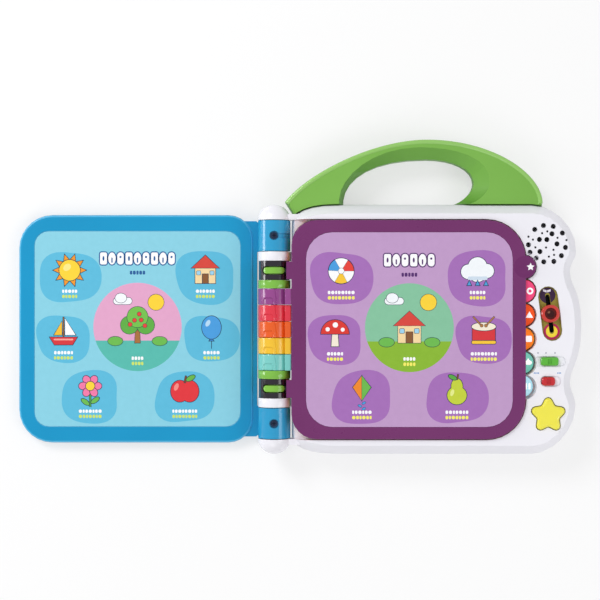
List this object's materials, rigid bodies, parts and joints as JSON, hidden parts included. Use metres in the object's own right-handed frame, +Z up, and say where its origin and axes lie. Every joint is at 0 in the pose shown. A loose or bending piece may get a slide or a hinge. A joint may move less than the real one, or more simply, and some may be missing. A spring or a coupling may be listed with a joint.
{
  "type": "sound book",
  "caption": "Child's sound book lying open: hinged cover, stiff pages on a spine of coloured knuckles, battery case with speaker, slide switches, star button and carrying handle.",
  "frame": {"origin": "centre of the open book's box, on the surface it lies on", "axes": "+X from the cover over the spine to the control strip, +Y towards the carrying handle, +Z up from the table"},
  "size_m": [0.4532, 0.2512, 0.0385],
  "materials": {
    "white_case": "smooth satin white moulding",
    "green_handle": "soft gloss green moulding",
    "blue_cover": "soft gloss blue moulding",
    "cover_print": "printed satin film",
    "bed_print": "printed satin film",
    "page_print": "printed satin film",
    "green_spine": "gloss green moulding",
    "dark_sleeve": "gloss near-black moulding",
    "steel": "zinc plated",
    "mode_print": "olive moulding with printed fields",
    "red_control": "gloss red moulding",
    "green_control": "gloss green moulding",
    "yellow_star": "translucent yellow moulding",
    "dark_rubber": "soft matt rubber",
    "cone_paper": "black paper cone",
    "circuit_board": "green lacquered board",
    "black_plastic": "matt black moulding",
    "cell_jacket": "foil jacket",
    "page_purple": "gloss purple moulding",
    "page_red": "gloss red moulding",
    "page_orange": "gloss orange moulding",
    "page_yellow": "gloss yellow moulding",
    "page_teal": "gloss teal moulding"
  },
  "bodies": {
    "case": {"rear_shell": "white_case", "front_shell": "white_case", "battery_door": "white_case", "handle": "green_handle", "bed_label": "bed_print", "green_bush_top": "green_spine", "green_bush_bottom": "green_spine", "dark_sleeve_top": "dark_sleeve", "dark_sleeve_bottom": "dark_sleeve", "battery_door_screw": "steel", "mode_plate": "mode_print", "star_rubber_dome": "dark_rubber", "speaker_basket": "steel", "speaker_cone": "cone_paper", "main_board": "circuit_board", "mode_switch": "black_plastic", "volume_switch": "black_plastic", "language_switch": "black_plastic", "battery_1": "cell_jacket", "battery_2": "cell_jacket", "battery_contact_left": "steel", "battery_contact_right": "steel", "case_screw_1": "steel", "case_screw_2": "steel", "case_screw_3": "steel", "case_screw_4": "steel", "case_screw_5": "steel", "case_screw_6": "steel"},
    "cover": {"cover_collar_top": "blue_cover", "cover_collar_bottom": "blue_cover", "cover_inner_panel": "blue_cover", "cover_outer_panel": "blue_cover", "cover_label": "cover_print", "collar_screw_top": "steel", "collar_screw_bottom": "steel", "hinge_rod": "steel"},
    "leaf_1": {"page_1": "page_purple", "page_1_knuckle": "page_purple", "page_1_front_label": "page_print", "page_1_back_label": "page_print"},
    "leaf_2": {"page_2": "page_red", "page_2_knuckle": "page_red", "page_2_front_label": "page_print", "page_2_back_label": "page_print"},
    "leaf_3": {"page_3": "page_orange", "page_3_knuckle": "page_orange", "page_3_front_label": "page_print", "page_3_back_label": "page_print"},
    "leaf_4": {"page_4": "page_yellow", "page_4_knuckle": "page_yellow", "page_4_front_label": "page_print", "page_4_back_label": "page_print"},
    "leaf_5": {"page_5": "page_teal", "page_5_knuckle": "page_teal", "page_5_front_label": "page_print", "page_5_back_label": "page_print"},
    "star": {"star_button": "yellow_star"},
    "mode": {"mode_knob": "red_control"},
    "volume": {"volume_slider": "green_control"},
    "language": {"language_slider": "red_control"}
  },
  "joints": [
    {"name": "cover_hinge", "type": "hinge", "parent": "case", "child": "cover", "pos_m": [-0.0192, -0.02595, 0.024], "axis": [0, 1, 0], "range_deg": [0, 180]},
    {"name": "page_5_hinge", "type": "hinge", "parent": "case", "child": "leaf_5", "pos_m": [-0.0192, -0.02595, 0.024], "axis": [0, 1, 0], "range_deg": [-180, 0]},
    {"name": "page_4_hinge", "type": "hinge", "parent": "leaf_5", "child": "leaf_4", "pos_m": [-0.0192, -0.02595, 0.024], "axis": [0, 1, 0], "range_deg": [-180, 0]},
    {"name": "page_3_hinge", "type": "hinge", "parent": "leaf_4", "child": "leaf_3", "pos_m": [-0.0192, -0.02595, 0.024], "axis": [0, 1, 0], "range_deg": [-180, 0]},
    {"name": "page_2_hinge", "type": "hinge", "parent": "leaf_3", "child": "leaf_2", "pos_m": [-0.0192, -0.02595, 0.024], "axis": [0, 1, 0], "range_deg": [-180, 0]},
    {"name": "page_1_hinge", "type": "hinge", "parent": "leaf_2", "child": "leaf_1", "pos_m": [-0.0192, -0.02595, 0.024], "axis": [0, 1, 0], "range_deg": [-180, 0]},
    {"name": "star_press", "type": "slide", "parent": "case", "child": "star", "axis": [0, 0, -1], "range_m": [0, 0.0015], "stiffness_N_per_m": 600, "deforming": ["star_rubber_dome"]},
    {"name": "mode_slide", "type": "slide", "parent": "case", "child": "mode", "axis": [0.1258, -0.9921, 0], "range_m": [-0.0135, 0.0135]},
    {"name": "volume_slide", "type": "slide", "parent": "case", "child": "volume", "axis": [1, 0, 0], "range_m": [-0.005, 0.005]},
    {"name": "language_slide", "type": "slide", "parent": "case", "child": "language", "axis": [1, 0, 0], "range_m": [0, 0.004]}
  ]
}
